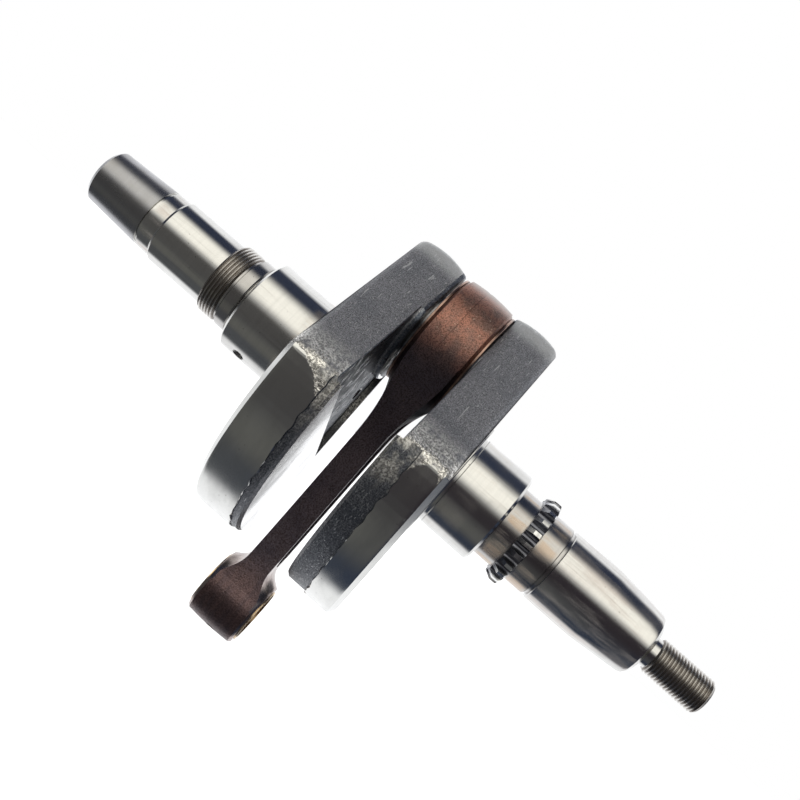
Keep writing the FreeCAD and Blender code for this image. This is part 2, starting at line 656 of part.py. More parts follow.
def beam_pocket(side):
    """The hollow in one side of the I-beam, rounded at both ends. side is -1 or 1."""
    top_z = CRANK_THROW - ROD_POCKET_FROM_BIG
    low_z = SMALL_END_Z + ROD_POCKET_FROM_SMALL
    top = ROD_POCKET_TOP_HALF
    low = ROD_POCKET_LOW_HALF
    edges = [
        Part.makeLine(V(0, top, top_z), V(0, low, low_z)),
        Part.Arc(V(0, low, low_z), V(0, 0, low_z - low), V(0, -low, low_z)).toShape(),
        Part.makeLine(V(0, -low, low_z), V(0, -top, top_z)),
        Part.Arc(V(0, -top, top_z), V(0, 0, top_z + top), V(0, top, top_z)).toShape(),
    ]
    floor = ROD_WEB_THICKNESS / 2
    pocket = Part.Face(Part.Wire(edges)).extrude(V(ROD_WIDTH / 2, 0, 0))
    pocket.translate(V(floor, 0, 0))
    pocket = pocket.makeFillet(ROD_POCKET_FILLET, edges_at_x(pocket, floor))
    if side < 0:
        pocket = pocket.mirror(V(0, 0, 0), X_AXIS)
    pocket.translate(V(ROD_OFFSET_X, 0, 0))
    return pocket


def small_end_oil_hole(radius):
    """Oil hole in the crown of the small end, drilled at a slant from the -Y side."""
    slant = math.radians(OIL_HOLE_SLANT)
    along = V(0, -math.sin(slant), -math.cos(slant))
    start = V(ROD_OFFSET_X + OIL_HOLE_SHIFT, 0, SMALL_END_Z) + along * (BUSH_BORE_RADIUS / 2)
    return Part.makeCylinder(radius, ROD_SMALL_RADIUS, start, along)


def connecting_rod():
    outline = rod_outline()
    beam_slab = Part.makeBox(ROD_BEAM_THICKNESS, 80.0, 220.0,
                             V(ROD_OFFSET_X - ROD_BEAM_THICKNESS / 2, -40.0, SMALL_END_Z - 30.0))
    big = eye_body(CRANK_THROW, ROD_BIG_FACE_RADIUS, ROD_BIG_FACE_STEP, ROD_BIG_FLARE_END)
    small = eye_body(SMALL_END_Z, ROD_SMALL_FACE_RADIUS, ROD_SMALL_FACE_STEP, ROD_SMALL_FLARE_END)
    rod = outline.common(beam_slab.fuse([big, small]))
    # the crowned outsides of the eyes, away from the beam
    upper = Part.makeBox(60.0, 100.0, 100.0, V(-30.0, -50.0, CRANK_THROW - 6.0))
    lower = Part.makeBox(60.0, 100.0, 100.0, V(-30.0, -50.0, SMALL_END_Z + 3.0 - 100.0))
    rod = rod.cut(upper.cut(crowned_ring(ROD_BIG_RADIUS, ROD_BIG_SIDE_RADIUS, CRANK_THROW)))
    rod = rod.cut(lower.cut(crowned_ring(ROD_SMALL_RADIUS, ROD_SMALL_SIDE_RADIUS, SMALL_END_Z)))
    rod = rod.cut(beam_pocket(-1)).cut(beam_pocket(1))
    x_start = ROD_OFFSET_X - ROD_WIDTH
    x_end = ROD_OFFSET_X + ROD_WIDTH
    rod = rod.cut(cylinder_x(ROD_BIG_BORE_RADIUS, x_start, x_end, 0, CRANK_THROW))
    rod = rod.cut(cylinder_x(ROD_SMALL_BORE_RADIUS, x_start, x_end, 0, SMALL_END_Z))
    return rod.cut(small_end_oil_hole(ROD_OIL_HOLE_RADIUS))


def small_end_bush():
    half = BUSH_LENGTH / 2
    outline = [
        (ROD_OFFSET_X - half, BUSH_BORE_RADIUS),
        (ROD_OFFSET_X - half, ROD_SMALL_BORE_RADIUS),
        (ROD_OFFSET_X + half, ROD_SMALL_BORE_RADIUS),
        (ROD_OFFSET_X + half, BUSH_BORE_RADIUS),
    ]
    return revolve_x(outline, SMALL_END_Z).cut(small_end_oil_hole(BUSH_OIL_HOLE_RADIUS))


def all_parts():
    parts = {
        "left_crank_half": left_crank_half(),
        "right_crank_half": right_crank_half(),
        "crank_pin": crank_pin(),
        "crank_pin_plug_left": crank_pin_plug(-1),
        "crank_pin_plug_right": crank_pin_plug(1),
        "big_end_cage": big_end_cage(),
        "thrust_washer_left": thrust_washer(WASHER_LEFT_X),
        "thrust_washer_right": thrust_washer(WASHER_RIGHT_X),
        "connecting_rod": connecting_rod(),
        "small_end_bush": small_end_bush(),
    }
    for i in range(ROLLER_COUNT):
        parts["big_end_roller_%02d" % (i + 1)] = big_end_roller(i)
    return parts


os.makedirs("parts", exist_ok=True)
for name, shape in all_parts().items():
    shape.exportStep("parts/" + name + ".step")
    print(name, shape.isValid(), len(shape.Solids), round(shape.Volume), shape.BoundBox)
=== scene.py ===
import math

import bmesh
import bpy
from mathutils import Matrix, Vector, noise


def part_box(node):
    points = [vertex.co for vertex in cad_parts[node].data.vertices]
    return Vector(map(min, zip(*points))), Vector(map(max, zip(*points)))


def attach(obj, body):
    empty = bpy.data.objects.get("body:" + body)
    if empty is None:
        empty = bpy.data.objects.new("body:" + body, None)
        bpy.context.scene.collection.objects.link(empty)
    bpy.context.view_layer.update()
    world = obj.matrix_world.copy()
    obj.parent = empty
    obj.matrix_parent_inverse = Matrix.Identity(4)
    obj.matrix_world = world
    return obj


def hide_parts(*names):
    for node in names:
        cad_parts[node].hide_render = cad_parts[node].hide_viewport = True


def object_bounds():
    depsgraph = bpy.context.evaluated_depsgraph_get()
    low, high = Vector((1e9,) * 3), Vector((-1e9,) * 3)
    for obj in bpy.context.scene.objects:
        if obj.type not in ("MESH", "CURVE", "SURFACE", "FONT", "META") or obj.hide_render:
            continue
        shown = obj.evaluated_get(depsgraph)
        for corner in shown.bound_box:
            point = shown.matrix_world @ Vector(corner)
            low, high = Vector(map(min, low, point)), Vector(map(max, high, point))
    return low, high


# The crankshaft in the row frame: shaft along X, crank pin above it (+Z), connecting rod hanging down.
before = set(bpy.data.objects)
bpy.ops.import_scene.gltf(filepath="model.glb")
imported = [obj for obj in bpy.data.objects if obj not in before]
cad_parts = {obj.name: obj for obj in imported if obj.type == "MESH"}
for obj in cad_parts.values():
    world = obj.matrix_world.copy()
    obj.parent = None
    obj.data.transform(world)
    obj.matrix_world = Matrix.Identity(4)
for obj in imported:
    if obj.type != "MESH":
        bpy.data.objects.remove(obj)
cad_low, cad_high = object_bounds()

MM = 0.001
WELD = 1e-6
FINE_EDGE = 1.1 * MM
SHARP_ANGLE = math.radians(28)

# Places taken from the frame, in metres.
ROD_X = (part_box("connecting_rod")[0].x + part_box("connecting_rod")[1].x) / 2
SEAM_X = ROD_X - 1.9 * MM
PIN_LOW, PIN_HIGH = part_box("crank_pin")
THROW = (PIN_LOW.z + PIN_HIGH.z) / 2
PIN_RADIUS = (PIN_HIGH.z - PIN_LOW.z) / 2
BUSH_LOW, BUSH_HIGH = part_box("small_end_bush")
SMALL_END_Z = (BUSH_LOW.z + BUSH_HIGH.z) / 2
WEB_OUTER = PIN_HIGH.x + 0.4 * MM
CROWN_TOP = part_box("left_crank_half")[1].z

# Forged skin and draft, in metres.
CROWN_RADIUS = 7.0 * MM
FLANK_TILT = math.radians(47)
DRAFT = 1.8 * MM
DRAFT_SKIN = 4.5 * MM
DRAFT_FADE = 12.0 * MM
WEB_GRAIN = 0.22 * MM
ROD_GRAIN = 0.07 * MM
ROD_SEAM_STEP = 0.12 * MM
ROD_SEAM_WIDTH = 1.1 * MM

# The rod's bare parts, in metres: side faces beyond this from its middle, bores within these radii, and
# slopes lower than this above the small eye's centre.
ROD_SIDE_FROM = 10.2 * MM
BIG_BORE_R = 22.2 * MM
SMALL_BORE_R = 12.2 * MM
EYE_FLARE_HEIGHT = 24 * MM

# Where the finishes of a crank half meet, in millimetres. ACROSS is measured from the middle plane, R from
# the shaft axis (BOSS_R from the pin's) and Z upwards. Most lie a little off an edge of the CAD, so that a
# face falls clearly on one side.
RING_R = 27.1
CENTRE_HOLE_R = 3.3
BOSS_R = 29.0
INNER_STEP_ACROSS = 12.6
PLATE_ACROSS = 14.2
INNER_STEP_Z = -30.0
TURNED_FACE_TOP_Z = 12.0
OUTER_FACE_ACROSS = 35.3
BEVEL_R = 69.0
BEVEL_ACROSS = 33.4
BEVEL_TOP_Z = 0.5
RIM_R = 71.2
RIM_TOP_Z = 2.0
SCALLOP_FROM_R = 71.0
LEFT_TURNED_FROM = 16.4
RIGHT_TURNED_FROM = 22.4

# Height above which the turned rim is meshed finely, and the web's middle and half width. Millimetres.
RIM_SPLIT_FROM_Z = -22.0
WEB_MIDDLE = 24.5
WEB_HALF_WIDTH = 11.1

# The wandering line on the rim: how far off it a corner may lie and how far it wanders, in millimetres, and
# how often it turns per radian.
SCALLOP_REACH = 0.35
SCALLOP_DEPTH = 1.1
SCALLOP_RATE = 16.0

# Radii on the shafts, in metres.
LEFT_THREAD_CREST = 16.5 * MM
RIGHT_THREAD_CREST = 7.9 * MM
TOOTH_ROOT = 18.4 * MM
TOOTH_TIP = 20.2 * MM

GRAINY_ZONES = ("forged", "rough_rim", "inner")
ZONES = GRAINY_ZONES + ("rim", "face", "outer", "journal", "neck", "cylinder", "taper", "thread", "teeth")

# Each stretch of shaft: where it ends across, in millimetres, and its zone.
LEFT_ENDS = ((71.9, "journal"), (78.7, "neck"), (87.6, "thread"), (124.1, "cylinder"), (153.0, "taper"))
RIGHT_ENDS = ((60.8, "journal"), (69.75, "neck"), (76.45, "teeth"), (87.35, "neck"),
              (139.8, "cylinder"), (166.0, "thread"))

# Oil stains on the ground steel.
BROWN_FILM = (0.3, 0.17, 0.12)
GOLD_FILM = (0.5, 0.34, 0.2)

# What a mirror sees in each direction.
ROOM_LOW = (0.045, 0.058, 0.09)
ROOM_WARM = (0.04, 0.034, 0.04)
ROOM_OLIVE = (0.15, 0.15, 0.14)
ROOM_NAVY = (0.04, 0.05, 0.085)
SOFT_BOX = (1.5, 1.46, 1.33)
PAPER = (1.3, 1.31, 1.33)
WHITE = (1.0, 1.0, 1.0)

# Camera: its place in metres, and the directions of its right side and its back.
SENSOR = 36.0
LENS = 47.25
EYE = (0.0335, -0.4195, 0.0097)
EYE_RIGHT = (0.7499, 0.0601, 0.6588)
EYE_BACK = (0.0798, -0.9968, 0.0)
FLOOR_HALF = 3.0
FLOOR_DROP = 0.06


# ---------------------------------------------------------------- node materials

class Nodes:
    """A shader node tree that is built with short calls."""

    def __init__(self, owner):
        owner.use_nodes = True
        self.tree = owner.node_tree
        self.tree.nodes.clear()

    def new(self, kind, **settings):
        node = self.tree.nodes.new(kind)
        for key, value in settings.items():
            setattr(node, key, value)
        return node

    def join(self, source, socket):
        """Lead a node's output, a number or a colour into a socket."""
        if isinstance(source, (int, float)):
            socket.default_value = source
        elif isinstance(source, tuple):
            socket.default_value = (*source, 1.0) if len(source) == 3 else source
        else:
            self.tree.links.new(source, socket)

    def split(self, vector):
        node = self.new("ShaderNodeSeparateXYZ")
        self.join(vector, node.inputs[0])
        return node.outputs

    def math(self, operation, first, second=0.0):
        node = self.new("ShaderNodeMath", operation=operation)
        self.join(first, node.inputs[0])
        self.join(second, node.inputs[1])
        return node.outputs[0]

    def step(self, value, low, high):
        """0 below low, 1 above high, smooth between. high may be under low."""
        node = self.new("ShaderNodeMapRange", interpolation_type="SMOOTHSTEP")
        self.join(value, node.inputs["Value"])
        node.inputs["From Min"].default_value = low
        node.inputs["From Max"].default_value = high
        return node.outputs["Result"]

    def mix(self, factor, first, second):
        """Colour between first and second. A mix node has its colour sockets after those of other types."""
        node = self.new("ShaderNodeMix", data_type="RGBA")
        self.join(factor, node.inputs[0])
        self.join(first, node.inputs[6])
        self.join(second, node.inputs[7])
        return node.outputs[2]


class Graph(Nodes):
    """A node material on a principled shader. Lengths are in metres."""

    def __init__(self, name):
        self.material = bpy.data.materials.new(name)
        super().__init__(self.material)
        output = self.new("ShaderNodeOutputMaterial")
        self.shader = self.new("ShaderNodeBsdfPrincipled")
        self.join(self.shader.outputs["BSDF"], output.inputs["Surface"])
        self.place = self.new("ShaderNodeTexCoord").outputs["Object"]
        self.x, self.y, self.z = self.split(self.place)

    def band(self, value, low, high, soft):
        """1 between low and high, 0 outside, with soft borders."""
        rise = self.step(value, low - soft, low + soft)
        fall = self.step(value, high + soft, high - soft)
        return self.math("MULTIPLY", rise, fall)

    def noise(self, scale, detail=3.0, stretch=(1.0, 1.0, 1.0), rough=0.55, shift=0.0):
        mapping = self.new("ShaderNodeMapping")
        self.join(self.place, mapping.inputs["Vector"])
        mapping.inputs["Scale"].default_value = stretch
        mapping.inputs["Location"].default_value = (shift, shift, shift)
        node = self.new("ShaderNodeTexNoise")
        self.join(mapping.outputs[0], node.inputs["Vector"])
        node.inputs["Scale"].default_value = scale
        node.inputs["Detail"].default_value = detail
        node.inputs["Roughness"].default_value = rough
        return node.outputs[0]

    def cells(self, scale):
        """Distance to the nearest of scattered points, for pits and specks."""
        node = self.new("ShaderNodeTexVoronoi", feature="F1")
        self.join(self.place, node.inputs["Vector"])
        node.inputs["Scale"].default_value = scale
        return node.outputs["Distance"]

    def blend(self, factor, first, second):
        """Number between first and second, as mix does for colours."""
        node = self.new("ShaderNodeMix", data_type="FLOAT")
        self.join(factor, node.inputs[0])
        self.join(first, node.inputs[2])
        self.join(second, node.inputs[3])
        return node.outputs[0]

    def radius(self):
        """Distance from the shaft axis."""
        y_squared = self.math("MULTIPLY", self.y, self.y)
        z_squared = self.math("MULTIPLY", self.z, self.z)
        return self.math("SQRT", self.math("ADD", y_squared, z_squared))

    def bump(self, height, depth, strength=1.0):
        node = self.new("ShaderNodeBump")
        self.join(height, node.inputs["Height"])
        node.inputs["Distance"].default_value = depth
        node.inputs["Strength"].default_value = strength
        return node.outputs[0]

    def finish(self, color, roughness, metallic=1.0, normal=None):
        """Fill in the shader. A metallic socket that is already joined keeps its link."""
        self.join(color, self.shader.inputs["Base Color"])
        self.join(roughness, self.shader.inputs["Roughness"])
        if not self.shader.inputs["Metallic"].is_linked:
            self.shader.inputs["Metallic"].default_value = metallic
        if normal is not None:
            self.join(normal, self.shader.inputs["Normal"])
        return self.material


def burnished_highlight_facets(g):
    """Tone of forged steel in small facets: burnished bright skin, painted near white for a painted
    highlight.
    """
    facets = g.step(g.noise(1300, 3.0, shift=2.0, rough=0.7), 0.42, 0.6)
    return g.mix(facets, (0.3, 0.29, 0.27), (0.97, 0.95, 0.9))


def forged_steel():
    """Granular skin of the forging: matt grey grain, dark pits, bright rubbed specks and scratches, a
    painted highlight of burnished facets where the shoulder bends, and a painted highlight that lightens the
    top of the crown.
    """
    g = Graph("forged_steel")
    grain = g.noise(2600, 4.0, rough=0.8)
    lumps = g.noise(620, 3.0)
    clouds = g.noise(60, 3.0, shift=3.0)
    tone = g.mix(g.step(grain, 0.36, 0.64), (0.07, 0.073, 0.085), (0.42, 0.42, 0.44))
    tone = g.mix(g.math("MULTIPLY", g.step(clouds, 0.4, 0.75), 0.5), tone, (0.14, 0.148, 0.17))
    pits = g.step(g.cells(95), 0.1, 0.04)
    tone = g.mix(g.math("MULTIPLY", pits, 0.8), tone, (0.025, 0.028, 0.04))
    rubbed = g.step(g.noise(1500, 2.0, shift=9.0), 0.66, 0.72)
    tone = g.mix(g.math("MULTIPLY", rubbed, 0.7), tone, (0.85, 0.84, 0.82))
    # Painted highlight: the top of the crown is painted lighter.
    crown = g.step(g.z, CROWN_TOP - 10.0 * MM, CROWN_TOP - 3.0 * MM)
    tone = g.mix(g.math("MULTIPLY", crown, 0.55), tone, (0.8, 0.81, 0.8))
    scratch = g.step(g.noise(900, 2.0, stretch=(1.0, 0.1, 0.1), shift=11.0), 0.68, 0.72)
    tone = g.mix(g.math("MULTIPLY", scratch, 0.5), tone, (0.8, 0.8, 0.8))
    # Painted highlight: a band round the shoulder gets near-white burnished facets, painted where the light
    # falls.
    shoulder = g.band(g.z, -14.0 * MM, 9.0 * MM, 5.0 * MM)
    painted_highlight = g.math("MULTIPLY", shoulder, g.step(g.noise(130, 3.0, shift=4.0), 0.3, 0.46))
    tone = g.mix(g.math("MULTIPLY", painted_highlight, 0.92), tone, burnished_highlight_facets(g))
    height = g.math("ADD", g.math("MULTIPLY", grain, 0.5), g.math("MULTIPLY", lumps, 0.9))
    height = g.math("SUBTRACT", height, g.math("MULTIPLY", pits, 0.6))
    rough = g.blend(g.step(grain, 0.3, 0.7), 0.62, 0.42)
    rough = g.blend(painted_highlight, rough, 0.27)
    return g.finish(tone, rough, 0.95, g.bump(height, 0.26 * MM, 1.0))


def inner_forged_painted_shade():
    """Forged inner side of a web, coloured dark as painted shade for the shadow between the webs and the
    rod, with lighter random patches.
    """
    g = Graph("inner_forged_painted_shade")
    grain = g.noise(1500, 3.0, rough=0.7)
    wet = g.noise(210, 3.0, shift=5.0)
    # Painted shade: the dark base tone stands for the shadow on the inner side of the web.
    tone = g.mix(g.step(grain, 0.36, 0.68), (0.045, 0.055, 0.075), (0.17, 0.185, 0.21))
    tone = g.mix(g.math("MULTIPLY", g.step(wet, 0.52, 0.7), 0.45), tone, (0.36, 0.37, 0.38))
    return g.finish(tone, g.blend(g.step(wet, 0.4, 0.62), 0.42, 0.24), 0.95, g.bump(grain, 0.2 * MM, 0.8))


def rough_rim():
    """Darker unmachined band of the counterweight rim, with slanting file scratches and a painted highlight
    of burnished facets on its upper part.
    """
    g = Graph("rough_rim")
    grain = g.noise(2000, 3.0, rough=0.75)
    patch = g.noise(120, 3.0, shift=6.0)
    tone = g.mix(g.step(grain, 0.36, 0.7), (0.05, 0.055, 0.07), (0.3, 0.31, 0.33))
    tone = g.mix(g.math("MULTIPLY", g.step(patch, 0.45, 0.7), 0.5), tone, (0.08, 0.09, 0.11))
    slant = g.new("ShaderNodeMapping")
    g.join(g.place, slant.inputs["Vector"])
    slant.inputs["Rotation"].default_value = (0.0, math.radians(48), 0.0)
    slant.inputs["Scale"].default_value = (1.0, 0.6, 0.12)
    lines = g.new("ShaderNodeTexNoise")
    g.join(slant.outputs[0], lines.inputs["Vector"])
    lines.inputs["Scale"].default_value = 1900
    scratches = g.step(lines.outputs[0], 0.62, 0.7)
    tone = g.mix(g.math("MULTIPLY", scratches, 0.75), tone, (0.7, 0.71, 0.72))
    # Painted highlight: the upper part of the rim gets near-white burnished facets, painted where the light
    # falls.
    upper = g.step(g.z, -24.0 * MM, -6.0 * MM)
    painted_highlight = g.math("MULTIPLY", upper, g.step(g.noise(130, 3.0, shift=4.0), 0.4, 0.56))
    tone = g.mix(g.math("MULTIPLY", painted_highlight, 0.85), tone, burnished_highlight_facets(g))
    height = g.math("ADD", grain, g.math("MULTIPLY", scratches, 0.4))
    rough = g.blend(painted_highlight, g.blend(scratches, 0.42, 0.25), 0.28)
    return g.finish(tone, rough, 0.95, g.bump(height, 0.2 * MM, 0.9))


def turned_steel(name, across_x, tint=(0.6, 0.6, 0.585), dullness=0.0):
    """Lathe-turned steel. The tool marks follow x on a rim, or the radius on a flat face."""
    g = Graph(name)
    travel = g.x if across_x else g.radius()
    jitter = g.math("MULTIPLY", g.noise(90, 2.0), 0.35 * MM)
    phase = g.math("MULTIPLY", g.math("ADD", travel, jitter), 2 * math.pi / (0.32 * MM))
    marks = g.math("SINE", phase)
    smear = g.noise(130, 3.0, stretch=(1.0, 0.35, 0.35))
    tone = g.mix(g.step(smear, 0.3, 0.75), tint, tuple(c * 0.86 for c in tint))
    specks = g.step(g.cells(240), 0.09, 0.03)
    tone = g.mix(g.math("MULTIPLY", specks, 0.6), tone, (0.12, 0.1, 0.09))
    rough = g.blend(g.step(smear, 0.35, 0.7), 0.15 + dullness, 0.24 + dullness)
    height = g.math("MULTIPLY", g.math("ADD", marks, g.math("MULTIPLY", smear, 1.5)), 0.5)
    return g.finish(tone, rough, 1.0, g.bump(height, 0.003 * MM, 0.4))


def ground_steel(name, stains=(), dullness=0.0, tint=(0.62, 0.615, 0.6)):
    """Ground shaft steel: fine rings round the axis, faint polish bands, small pits and oil stains.

    stains holds (x start, x end, colour, amount) of each one, with x in millimetres."""
    g = Graph(name)
    rings = g.noise(1500, 3.0, stretch=(1.0, 0.015, 0.015))
    bands = g.noise(420, 5.0, stretch=(1.0, 0.02, 0.02), shift=1.0, rough=0.75)
    along = g.noise(420, 4.0, stretch=(0.05, 1.0, 1.0), shift=8.0, rough=0.65)
    patch = g.noise(75, 4.0, stretch=(0.7, 1.0, 1.0), shift=5.0)
    tone = g.mix(g.step(bands, 0.3, 0.75), tint, tuple(c * 0.92 for c in tint))
    tone = g.mix(g.math("MULTIPLY", g.step(along, 0.5, 0.72), 0.3), tone, (0.34, 0.325, 0.31))
    tone = g.mix(g.math("MULTIPLY", g.step(patch, 0.45, 0.72), 0.25 + dullness), tone, (0.3, 0.29, 0.28))
    film = 0.0
    for start, end, color, amount in stains:
        zone = g.band(g.math("MULTIPLY", g.x, 1000.0), start, end, 1.6)
        drip = g.step(g.noise(140, 4.0, stretch=(0.12, 1.0, 1.0), shift=start, rough=0.65), 0.44, 0.64)
        stain = g.math("MULTIPLY", g.math("MULTIPLY", zone, drip), amount)
        tone = g.mix(stain, tone, color)
        film = g.math("MAXIMUM", film, stain)
    g.join(g.math("SUBTRACT", 1.0, g.math("MULTIPLY", film, 0.6)), g.shader.inputs["Metallic"])
    pits = g.step(g.cells(300), 0.09, 0.035)
    tone = g.mix(g.math("MULTIPLY", pits, 0.6), tone, (0.1, 0.09, 0.08))
    rough = g.blend(g.step(patch, 0.35, 0.7), 0.13 + dullness * 0.3, 0.19 + dullness * 0.35)
    height = g.math("SUBTRACT", rings, g.math("MULTIPLY", pits, 2.0))
    return g.finish(tone, rough, 1.0, g.bump(height, 0.008 * MM, 0.5))


def thread_steel(name, crest):
    """Threaded steel painted darker towards the roots as painted shade, with a little random grime. crest is
    the outside radius in metres.
    """
    g = Graph(name)
    # Painted shade: darker towards the thread roots, full steel tone at the crests.
    depth = g.step(g.radius(), crest - 0.85 * MM, crest - 0.15 * MM)
    dirt = g.noise(500, 3.0)
    tone = g.mix(depth, (0.26, 0.235, 0.215), (0.62, 0.605, 0.58))
    tone = g.mix(g.math("MULTIPLY", g.step(dirt, 0.52, 0.72), 0.4), tone, (0.2, 0.165, 0.13))
    return g.finish(tone, g.blend(depth, 0.4, 0.26), 1.0, g.bump(dirt, 0.05 * MM, 0.4))


def tooth_steel():
    """Timing teeth: bright tips over flanks painted dark towards the roots as painted shade, with random
    dark dirt.
    """
    g = Graph("tooth_steel")
    # Painted shade: the flanks are coloured dark towards the roots, the tips bright steel.
    height = g.step(g.radius(), TOOTH_ROOT, TOOTH_TIP)
    dirt = g.noise(420, 3.0)
    tone = g.mix(height, (0.17, 0.175, 0.2), (0.7, 0.7, 0.69))
    tone = g.mix(g.math("MULTIPLY", g.step(dirt, 0.48, 0.68), 0.4), tone, (0.1, 0.1, 0.11))
    return g.finish(tone, g.blend(height, 0.3, 0.18), 1.0, g.bump(dirt, 0.04 * MM, 0.4))


def rod_skin():
    """Dark copper-brown skin of the forged rod, redder and grainier on the big end's crown, with a painted
    highlight that lightens its very top.
    """
    g = Graph("rod_skin")
    grain = g.noise(1900, 4.0, rough=0.72)
    clouds = g.noise(110, 3.0, shift=2.0)
    streaks = g.noise(320, 3.0, stretch=(1.0, 0.25, 0.25), shift=4.0)
    crown = g.step(g.z, THROW - 16 * MM, THROW + 4 * MM)
    eye = g.step(g.z, SMALL_END_Z + 26 * MM, SMALL_END_Z + 8 * MM)
    beam_tone = g.mix(g.step(clouds, 0.35, 0.7), (0.17, 0.14, 0.16), (0.13, 0.11, 0.135))
    eye_tone = g.mix(g.step(streaks, 0.35, 0.7), (0.15, 0.1, 0.1), (0.095, 0.07, 0.078))
    crown_tone = g.mix(g.step(clouds, 0.36, 0.66), (0.42, 0.2, 0.145), (0.24, 0.15, 0.125))
    tone = g.mix(eye, beam_tone, eye_tone)
    tone = g.mix(crown, tone, crown_tone)
    dark = g.math("MULTIPLY", g.step(grain, 0.56, 0.4), 0.75)
    tone = g.mix(dark, tone, (0.05, 0.032, 0.03))
    seam = g.band(g.math("SUBTRACT", g.x, g.math("MULTIPLY", g.noise(90, 2.0), 1.4 * MM)),
                  SEAM_X - 1.0 * MM, SEAM_X - 0.75 * MM, 0.14 * MM)
    tone = g.mix(g.math("MULTIPLY", g.math("MULTIPLY", seam, crown), 0.7), tone, (0.04, 0.025, 0.022))
    specks = g.math("MULTIPLY", g.step(g.noise(1500, 2.0, shift=7.0), 0.66, 0.73), 0.6)
    specks = g.math("MULTIPLY", specks, g.blend(crown, 0.25, 1.0))
    tone = g.mix(specks, tone, (0.75, 0.6, 0.48))
    # Painted highlight: the very top of the crown is painted lighter.
    top = g.step(g.z, CROWN_TOP - 7.0 * MM, CROWN_TOP - 1.5 * MM)
    tone = g.mix(g.math("MULTIPLY", top, 0.75), tone, (0.5, 0.47, 0.45))
    rough = g.blend(crown, 0.36, 0.4)
    height = g.math("ADD", grain, g.math("MULTIPLY", streaks, 0.4))
    return g.finish(tone, rough, 0.95, g.bump(height, 0.14 * MM, 0.9))


def rod_side():
    """Turned side faces and rubbed edges of the rod: thinner, brighter copper over steel."""
    g = Graph("rod_side")
    smear = g.noise(260, 3.0)
    tone = g.mix(g.step(smear, 0.35, 0.7), (0.42, 0.36, 0.34), (0.26, 0.21, 0.2))
    return g.finish(tone, g.blend(smear, 0.16, 0.3), 1.0, g.bump(smear, 0.01 * MM, 0.3))


def copper_bronze(name, light, dark):
    """Washers and bush: warm bronze with tool rings and darker oil marks."""
    g = Graph(name)
    smear = g.noise(300, 3.0)
    rings = g.noise(1600, 1.0, stretch=(1.0, 0.05, 0.05))
    tone = g.mix(g.step(smear, 0.35, 0.72), light, dark)
    return g.finish(tone, g.blend(smear, 0.18, 0.32), 1.0, g.bump(rings, 0.008 * MM, 0.4))


def bearing_steel(name, color, roughness):
    """Hardened steel of pin, rollers and cage with faint oil clouds."""
    g = Graph(name)
    clouds = g.noise(240, 3.0)
    tone = g.mix(g.step(clouds, 0.4, 0.7), color, tuple(c * 0.75 for c in color))
    return g.finish(tone, g.blend(clouds, roughness, roughness + 0.12), 1.0, g.bump(clouds, 0.006 * MM, 0.3))


# ---------------------------------------------------------------- detailed meshes

def welded(node):
    """The CAD node's mesh as an editable copy with its split corners joined."""
    bm = bmesh.new()
    bm.from_mesh(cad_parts[node].data)
    bmesh.ops.remove_doubles(bm, verts=bm.verts, dist=WELD)
    bm.normal_update()
    return bm


def split_fine(bm, wanted):
    """Split the wanted faces until their edges are under FINE_EDGE."""
    for _ in range(9):
        long_edges = {e for f in bm.faces if wanted(f) for e in f.edges if e.calc_length() > FINE_EDGE}
        if not long_edges:
            break
        bmesh.ops.subdivide_edges(bm, edges=list(long_edges), cuts=1, use_single_edge=True)
        many_sided = [f for f in bm.faces if len(f.verts) > 3]
        bmesh.ops.triangulate(bm, faces=many_sided)
    bm.normal_update()


def grain_height(point, coarse, fine):
    """Smooth lumps and finer grain, between 0 and 1."""
    lumps = noise.noise(point * coarse)
    grain = noise.noise(point * fine + Vector((7.0, 3.0, 5.0)))
    return 0.5 + 0.3 * lumps + 0.2 * grain


def roughen(bm, rough_indices, depth):
    """Sink the faces with these material indices by a grainy amount, leaving their borders in place."""
    moved = []
    for vert in bm.verts:
        if all(f.material_index in rough_indices for f in vert.link_faces):
            moved.append((vert, vert.co - vert.normal * depth * grain_height(vert.co, 300.0, 800.0)))
    for vert, place in moved:
        vert.co = place
    bm.normal_update()


def mark_sharp(bm):
    """Shade smooth, with hard edges where faces bend sharply. A border between materials hardens sooner."""
    for face in bm.faces:
        face.smooth = True
    for edge in bm.edges:
        if len(edge.link_faces) == 2:
            same = edge.link_faces[0].material_index == edge.link_faces[1].material_index
            limit = SHARP_ANGLE if same else SHARP_ANGLE / 2
            edge.smooth = edge.calc_face_angle(0.0) < limit


def make_piece(bm, name, node, body, materials):
    """A finished mesh as a piece that moves with its body and stands in for a CAD node."""
    mark_sharp(bm)
    mesh = bpy.data.meshes.new(name)
    bm.to_mesh(mesh)
    bm.free()
    for material in materials:
        mesh.materials.append(material)
    piece = bpy.data.objects.new(name, mesh)
    bpy.context.scene.collection.objects.link(piece)
    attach(piece, body)
    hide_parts(node)


def panel_top(side, across):
    """Height (mm) at which the turned rim ends below the forged shoulder, against distance across."""
    if side < 0:
        return 1.4 - 9.5 * ((33.5 - across) / 17.0) ** 2
    return 0.6 - 8.5 * (abs(across - 28.6) / 6.4) ** 2.4


